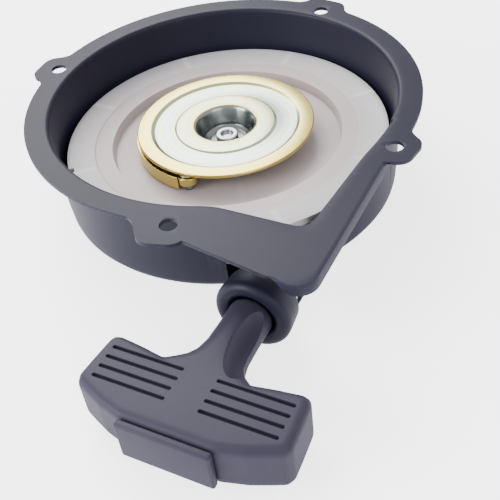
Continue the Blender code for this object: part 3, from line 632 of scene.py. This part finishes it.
TURNS, TURN_STEPS, TURN_PITCH = 3, 60, 4.25
wound = []
for k in range(TURNS * TURN_STEPS + 1):
    turn, radius = 2 * pi * k / TURN_STEPS, ROPE_X - TURN_PITCH * k / TURN_STEPS
    wound.append((radius * cos(turn), radius * sin(turn), ROPE_Z))
strand("rope_turns", wound, ROPE, cord_black, "reel", ("rope_winding",), 16)

# ---------------------------------------------------------------- friction plate
# A disc pressed from 1.5 mm sheet with a sunk ring and a deep drawn cup, plated in yellow zinc that shows
# faint green and lilac bands, with painted ring highlights, dark reflection bands and painted shade in the
# cup laid over them. The centre bolt holds it to the post and the friction spring drags on it.
zinc = finish("yellow_zinc", ((0.80, 0.70, 0.36), (0.86, 0.76, 0.42)), (0.95, 0.88, 0.62), (0.20, 0.26),
              metallic=1.0, cloud=30.0, grain=260.0, wear=0.2, depth=0.003)


def plating_and_sheen_bands(made, stops, strength):
    """Thin-film colours of the plating laid in rings about the axis together with painted ring highlights and
    dark reflection bands, broken up by a slow cloud.
    """
    tree = made.node_tree
    shader = tree.nodes["Principled BSDF"]
    node, link = tree.nodes.new, tree.links.new
    place = node("ShaderNodeTexCoord")
    flat, reach = node("ShaderNodeVectorMath"), node("ShaderNodeVectorMath")
    flat.operation, reach.operation = "MULTIPLY", "LENGTH"
    flat.inputs[1].default_value = (20, 20, 0)
    cloud = node("ShaderNodeTexNoise")
    cloud.inputs["Scale"].default_value = 45.0
    cloud.inputs["Detail"].default_value = 3.0
    sway, total = node("ShaderNodeMath"), node("ShaderNodeMath")
    ramp, mix = node("ShaderNodeValToRGB"), node("ShaderNodeMix")
    sway.operation = "MULTIPLY_ADD"
    sway.inputs[1].default_value, sway.inputs[2].default_value = 0.07, -0.035
    ramp.color_ramp.elements[0].color = (*stops[0][1], 1)
    ramp.color_ramp.elements[1].color = (*stops[-1][1], 1)
    for spot, shade in stops[1:-1]:
        ramp.color_ramp.elements.new(spot).color = (*shade, 1)
    mix.data_type = "RGBA"
    mix.inputs["Factor"].default_value = strength
    before = shader.inputs["Base Color"].links[0].from_socket
    link(place.outputs["Object"], flat.inputs[0])
    link(flat.outputs["Vector"], reach.inputs[0])
    link(place.outputs["Object"], cloud.inputs["Vector"])
    link(cloud.outputs["Fac"], sway.inputs[0])
    link(reach.outputs["Value"], total.inputs[0])
    link(sway.outputs["Value"], total.inputs[1])
    link(total.outputs["Value"], ramp.inputs["Fac"])
    link(before, mix.inputs["A"])
    link(ramp.outputs["Color"], mix.inputs["B"])
    link(mix.outputs["Result"], shader.inputs["Base Color"])


# The plating's own yellow, green and lilac bands are mixed with painted ring highlights and dark reflection
# bands. The dark teal inside 13.5 mm is partly the cup's chromate colour and partly painted shade in the cup;
# the washer, inside 8.2 mm, takes the same dark teal.
plating_and_sheen_bands(zinc, ((0.0, (0.13, 0.16, 0.17)), (0.27, (0.17, 0.20, 0.21)), (0.31, (0.30, 0.30, 0.20)),
                    (0.34, (0.56, 0.52, 0.22)), (0.38, (0.42, 0.54, 0.32)), (0.42, (0.50, 0.58, 0.40)),
                    (0.46, (0.56, 0.50, 0.26)), (0.49, (0.42, 0.54, 0.48)), (0.52, (0.54, 0.56, 0.28)),
                    (0.55, (0.34, 0.50, 0.54)), (0.58, (0.56, 0.52, 0.60)), (0.61, (0.36, 0.56, 0.38)),
                    (0.64, (0.56, 0.60, 0.42)), (0.67, (0.48, 0.40, 0.60)), (0.70, (0.42, 0.56, 0.34)),
                    (0.74, (0.60, 0.55, 0.22)), (0.80, (0.64, 0.54, 0.16)), (0.86, (0.62, 0.50, 0.13)),
                    (1.0, (0.60, 0.46, 0.10))), 0.94)
PLATE_R, PLATE_TOP, PLATE_SHEET, CUP = 43.65, 32.8, 1.5, 20.3
plate_profile = [(5.7, CUP + 1.5), (9.9, CUP + 1.5), (11.7, CUP + 3.0), (14.0, PLATE_TOP - 2.2),
                 (14.8, PLATE_TOP - 0.9), (15.8, PLATE_TOP - 0.4), (24.2, PLATE_TOP - 0.4),
                 (25.2, PLATE_TOP - 1.1), (35.2, PLATE_TOP - 1.1), (36.8, PLATE_TOP),
                 (PLATE_R - 0.4, PLATE_TOP), (PLATE_R, PLATE_TOP - 0.4), (PLATE_R, PLATE_TOP - PLATE_SHEET),
                 (36.4, PLATE_TOP - PLATE_SHEET), (34.8, PLATE_TOP - 2.6), (25.6, PLATE_TOP - 2.6),
                 (24.6, PLATE_TOP - 1.9), (16.5, PLATE_TOP - 1.9), (15.5, PLATE_TOP - 2.4), (13.2, CUP + 1.6),
                 (11.4, CUP), (5.7, CUP)]
plate = piece("friction_disc", turned(plate_profile, 256), zinc, "friction_plate", ("friction_plate",),
              crease=60)
soften(plate, 0.45, 4, 20)

# ---------------------------------------------------------------- ratchet
# One curved arm of the same plated steel lies under the plate's rim, with a slanting tip. A barrel in its end
# turns on the pin, and both swing together.
arm = bmesh.new()
low, high = 23.0, 29.6
ARC_STEPS = 40
outline = []
for radius, start, sweep in ((44.4, -90, -62), (38.6, -147, 57)):
    for k in range(ARC_STEPS + 1):
        turn = radians(start + sweep * k / ARC_STEPS)
        outline.append((radius * cos(turn), radius * sin(turn), low))
pressed(arm, outline, (0, 0, high - low))
ratchet = piece("ratchet_arm", arm, zinc, "ratchet", ("ratchet",))
BARREL_OUT = 4.9
punched(ratchet, [drilled(0, PIN_Y, BARREL_OUT + 0.4, low - 1, high + 1, 48)])
soften(ratchet, 0.5, 3)
barrel_profile = [(PIN_R, low + 2.4), (BARREL_OUT, low + 2.4), (BARREL_OUT, high - 0.1), (PIN_R, high - 0.1)]
barrel = turned(barrel_profile, 64)
bmesh.ops.translate(barrel, vec=(0, PIN_Y, 0), verts=barrel.verts)
soften(piece("ratchet_barrel", barrel, zinc, "ratchet"), 0.4, 3)

# ---------------------------------------------------------------- centre bolt
# A bright zinc-plated screw with a socket head clamps a flat, yellow-plated washer on the post's end. Both
# are turned.
bright = finish("bright_zinc", ((0.34, 0.35, 0.37), (0.42, 0.43, 0.45)), (0.85, 0.85, 0.87), (0.18, 0.30),
                metallic=1.0, cloud=80.0, grain=900.0, wear=0.6)
seat, SHANK_R, HEAD_R, SOCKET_R, HEAD_TALL = 23.7, 2.3, 5.5, 2.9, 2.4
head_profile = [(0, 10.5), (SHANK_R, 10.5), (SHANK_R, seat), (HEAD_R, seat), (HEAD_R, seat + 2.0),
                (HEAD_R - 0.4, seat + HEAD_TALL), (SOCKET_R + 0.4, seat + HEAD_TALL), (SOCKET_R, seat + 2.0),
                (SOCKET_R, seat + 0.7), (0, seat + 0.7)]
bolt = piece("bolt_head", turned(head_profile, 96, closed=False), bright, "case", ("centre_bolt",))
soften(bolt, 0.2, 3)
washer_profile = [(3.4, 22.6), (8.2, 22.6), (8.2, 23.4), (3.4, 23.4)]
washer = piece("bolt_washer", turned(washer_profile, 96), zinc, "case", ("spring_washer",))
soften(washer, 0.15, 2)

# ---------------------------------------------------------------- rope guide
# A thick-lipped eyelet in the case's slate finish, let into the bracket and held by a ring behind it. It is
# turned about the rope's line.
GUIDE_R, LIP_Y, LIP_WIDE, LIP_DEEP = 16.8, -98.1, 3.5, 3.4
back_y = BRACKET_Y + 5.5
guide_profile = [(4.8, back_y), (BARREL_R, back_y), (BARREL_R, BRACKET_Y - 0.3), (15.2, BRACKET_Y - 0.3),
                 (15.9, BRACKET_Y - 1.2), (16.5, -94.0), (GUIDE_R, -97.0)]
for turn in (radians(step) for step in range(0, 181, 15)):
    guide_profile.append((GUIDE_R - LIP_WIDE * (1 - cos(turn)), LIP_Y - LIP_DEEP * sin(turn)))
guide_profile += [(9.0, -96.0), (6.5, -91.0), (4.8, -87.0)]
guide = piece("rope_eyelet", turned(guide_profile, 128, "Y", (ROPE_X, ROPE_Z)), case_paint, "case",
              ("rope_guide",))
soften(guide, 0.3, 2)

# ---------------------------------------------------------------- handle
# A T handle moulded in dark slate plastic: a round neck that flows into a bar with swept wings, four grip
# grooves on each wing. Bar and neck are merged and smoothed, then the scoop and the grooves are cut.
plastic = finish("handle_slate", ((0.027, 0.0245, 0.041), (0.034, 0.0315, 0.050)),
                 (0.055, 0.052, 0.076), (0.44, 0.58), cloud=18.0, grain=1100.0, wear=0.35, depth=0.03)
plastic.node_tree.nodes["Principled BSDF"].inputs["Specular IOR Level"].default_value = 0.24
BAR_Z, BAR_TALL, BAR_REAR, BAR_FRONT = 15.25, 11.15, -138.1, -168.3
bar = bmesh.new()
right = [(19.5, BAR_FRONT), (30.0, BAR_FRONT + 2.8), (38.0, BAR_FRONT + 6.1), (42.6, BAR_FRONT + 8.2),
         (44.2, BAR_FRONT + 11.5), (43.8, -150.0), (42.8, BAR_REAR + 0.5), (41.6, BAR_REAR + 3.0),
         (38.6, BAR_REAR + 3.9), (28.0, BAR_REAR + 2.6), (14.0, BAR_REAR + 0.2)]
outline = [(ROPE_X + x, y, BAR_Z - BAR_TALL) for x, y in right + [(-x, y) for x, y in reversed(right)]]
pressed(bar, outline, (0, 0, 2 * BAR_TALL))
bmesh.ops.recalc_face_normals(bar, faces=bar.faces)
flat_edges = [e for e in bar.edges if abs(e.verts[0].co.z - e.verts[1].co.z) < 0.01]
bmesh.ops.bevel(bar, geom=flat_edges, offset=3.4, offset_type="OFFSET", segments=5, profile=0.5,
                affect="EDGES", material=-1, clamp_overlap=True)
# The neck's sections, each a place along the rope, a half width, a half height and how square it is.
sections = ((-98.5, 7.4, 7.4, 2.0), (-99.2, 8.7, 8.7, 2.0), (-100.6, 9.4, 9.4, 2.0),
            (-112.0, 9.4, 9.4, 2.0), (-122.0, 9.5, 9.4, 2.2), (-128.0, 10.6, 9.4, 2.6),
            (-132.0, 13.2, 9.4, 3.0), (-135.5, 17.6, 9.4, 3.8),
            (-138.5, 22.0, 9.4, 4.6), (-146.0, 22.0, 9.38, 4.6), (-153.0, 19.0, 7.0, 4.0))
SIDES = 64
neck_rings = []
for place, wide, tall, square in sections:
    at_end = place in (sections[0][0], sections[-1][0])
    made = bmesh.ops.create_circle(bar, cap_ends=at_end, segments=SIDES, radius=1.0)["verts"]
    for vert in made:
        c, s = vert.co.x, vert.co.y
        across = copysign(abs(c) ** (2 / square), c) * wide
        up = copysign(abs(s) ** (2 / square), s) * tall
        vert.co = Vector((ROPE_X + across, place, ROPE_Z + up))
    neck_rings.append(made)
joined(bar, neck_rings)
bmesh.ops.recalc_face_normals(bar, faces=bar.faces)
grip = shown("t_handle", bar, plastic, "handle", ("handle_grip",), crease=60)
blend_in = grip.modifiers.new("one_moulding", "REMESH")
blend_in.mode = "VOXEL"
blend_in.voxel_size = 0.55 * MM
blend_in.use_smooth_shade = True
even = grip.modifiers.new("flow", "SMOOTH")
even.factor, even.iterations = 0.5, 14
settle(grip)
scoop = bmesh.new()
bmesh.ops.create_uvsphere(scoop, u_segments=64, v_segments=48, radius=1.0)
bmesh.ops.scale(scoop, vec=(8.2, 19.0, 6.8), verts=scoop.verts)
bmesh.ops.rotate(scoop, cent=(0, 0, 0), matrix=Matrix.Rotation(radians(3), 3, "Z"), verts=scoop.verts)
bmesh.ops.translate(scoop, vec=(ROPE_X + 10.3, -119.5, ROPE_Z + 8.6), verts=scoop.verts)
cutters = [scoop]
GROOVES, GROOVE_PITCH, GROOVE_DEEP = 4, 4.85, 1.6
GROOVE_LONG, GROOVE_WIDE, GROOVE_CUT = 31.6, 1.7, 6.0
GROOVE_X, GROOVE_Y, GROOVED_TOP = 6.9 + GROOVE_LONG / 2, -141.2, 26.35
for side in (-1, 1):
    for k in range(GROOVES):
        y = GROOVE_Y - GROOVE_PITCH * k
        middle = (ROPE_X + side * GROOVE_X, y, GROOVED_TOP + GROOVE_CUT / 2 - GROOVE_DEEP)
        groove = block((GROOVE_LONG, GROOVE_WIDE, GROOVE_CUT), middle)
        upright = [e for e in groove.edges if abs(e.verts[0].co.z - e.verts[1].co.z) > 1]
        bmesh.ops.bevel(groove, geom=upright, offset=0.7, segments=3, profile=0.5, affect="EDGES",
                        material=-1)
        cutters.append(groove)
punched(grip, cutters)
grip.data.set_sharp_from_angle(angle=radians(45))

# ---------------------------------------------------------------- cap over the knot
# A plain rounded block of the handle's plastic that snaps into the front of the bar and hides the knot. It is
# moulded on its own and moves with the handle.
CAP_WIDE, CAP_DEEP, CAP_TALL, CAP_GAP = 39.0, 3.4, 18.8, 0.3
cap = block((CAP_WIDE, CAP_DEEP, CAP_TALL), (ROPE_X, BAR_FRONT - CAP_GAP - CAP_DEEP / 2, BAR_Z + 0.5))
bmesh.ops.bevel(cap, geom=list(cap.edges), offset=1.1, segments=4, profile=0.5, affect="EDGES", material=-1)
cap_piece = piece("knot_cap", cap, plastic, "handle", ("handle_cap",))

# ---------------------------------------------------------------- rope to the handle
# The same 4 mm black cord runs straight from the reel through the eyelet and the neck to its knot. Its part
# inside the eyelet has many close rings, because that is where it is drawn out when the handle is pulled.
DRAWN_FROM, DRAWN_TO, DRAWN_STEPS = -80.0, -98.0, 120
run = [(ROPE_X, y, ROPE_Z) for y in (-0.62, -20.0, -40.0, -60.0, -78.0)]
for k in range(DRAWN_STEPS + 1):
    run.append((ROPE_X, DRAWN_FROM + (DRAWN_TO - DRAWN_FROM) * k / DRAWN_STEPS, ROPE_Z))
run += [(ROPE_X, y, ROPE_Z) for y in (-100.0, -120.0, -146.2)]
pulled = strand("rope_run", run, ROPE, cord_black, None, ("rope_lead",), 20)
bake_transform(pulled)

# ---------------------------------------------------------------- hidden hardware
# The turned post, bush, rings, pins and springs inside the case keep their modelled shapes. They are plain
# steel, dark spring steel and sintered bronze, and the knot is of the cord's black braid.
steel = finish("plain_steel", ((0.50, 0.50, 0.52), (0.60, 0.60, 0.61)), (0.75, 0.75, 0.76), (0.28, 0.42),
               metallic=1.0, cloud=60.0, grain=800.0, wear=0.5)
oiled = finish("spring_steel", ((0.18, 0.19, 0.22), (0.26, 0.27, 0.30)), (0.42, 0.42, 0.44), (0.28, 0.40),
               metallic=1.0, cloud=60.0, grain=800.0, wear=0.5)
bronze = finish("sintered_bronze", ((0.48, 0.33, 0.16), (0.58, 0.41, 0.20)), (0.70, 0.54, 0.32), (0.36, 0.5),
                metallic=1.0, cloud=70.0, grain=1500.0, depth=0.04)
steel_nodes = ("centre_post", "thrust_washer", "friction_spring", "spring_anchor", "ratchet_pin",
               "guide_retainer", "knot_washer")
for nodes, look in ((steel_nodes, steel), (("recoil_spring", "ratchet_spring"), oiled),
                    (("reel_bushing",), bronze), (("rope_knot",), cord_black)):
    for name in nodes:
        for slot in bpy.data.objects[name].material_slots:
            slot.material = look
